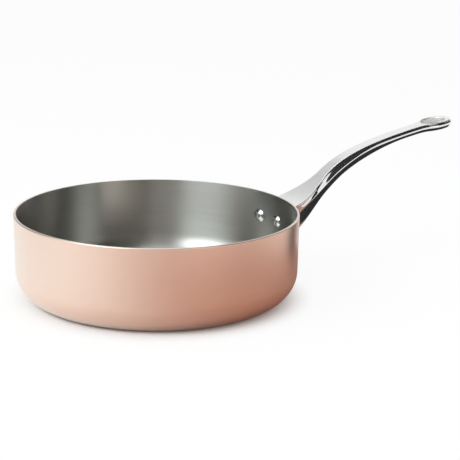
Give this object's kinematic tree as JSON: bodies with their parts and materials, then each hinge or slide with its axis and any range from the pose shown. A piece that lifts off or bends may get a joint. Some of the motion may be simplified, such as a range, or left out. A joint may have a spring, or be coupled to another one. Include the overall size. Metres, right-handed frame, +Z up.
{
  "type": "saute pan",
  "caption": "Straight-sided copper pan with a bonded steel lining and a long riveted cast steel handle, for browning and reducing on a stove.",
  "frame": {"origin": "centre of the flat base, on the surface that the pan stands on", "axes": "+X from the pan's axis out along the handle, +Z up through the open rim"},
  "size_m": [0.4467, 0.24, 0.1228],
  "materials": {
    "copper": "satin",
    "lining_steel": "satin",
    "handle_steel": "polished",
    "rivet_steel": "polished"
  },
  "bodies": {
    "root": {"copper_shell": "copper", "steel_lining": "lining_steel", "handle": "handle_steel", "rivet_left": "rivet_steel", "rivet_right": "rivet_steel"}
  },
  "joints": []
}
